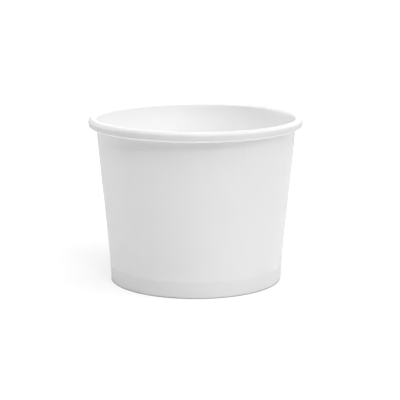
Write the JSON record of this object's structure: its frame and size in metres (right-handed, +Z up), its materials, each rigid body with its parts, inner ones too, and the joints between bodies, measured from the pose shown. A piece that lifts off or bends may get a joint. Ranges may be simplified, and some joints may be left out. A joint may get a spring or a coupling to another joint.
{
  "type": "paper sundae cup",
  "caption": "Plain white paperboard dessert cup: tapered wall with a lapped seam, rolled rim, and a recessed bottom disc held in a folded hem.",
  "frame": {"origin": "centre of the foot, on the surface that the cup stands on", "axes": "+Z up the cup's axis towards its mouth; +X towards the side seam"},
  "size_m": [0.096, 0.096, 0.0739],
  "materials": {
    "wall_board": "matt white board outside, satin film inside",
    "disc_board": "matt white board, satin film above"
  },
  "bodies": {
    "root": {"side_wall": "wall_board", "bottom_disc": "disc_board"}
  },
  "joints": []
}
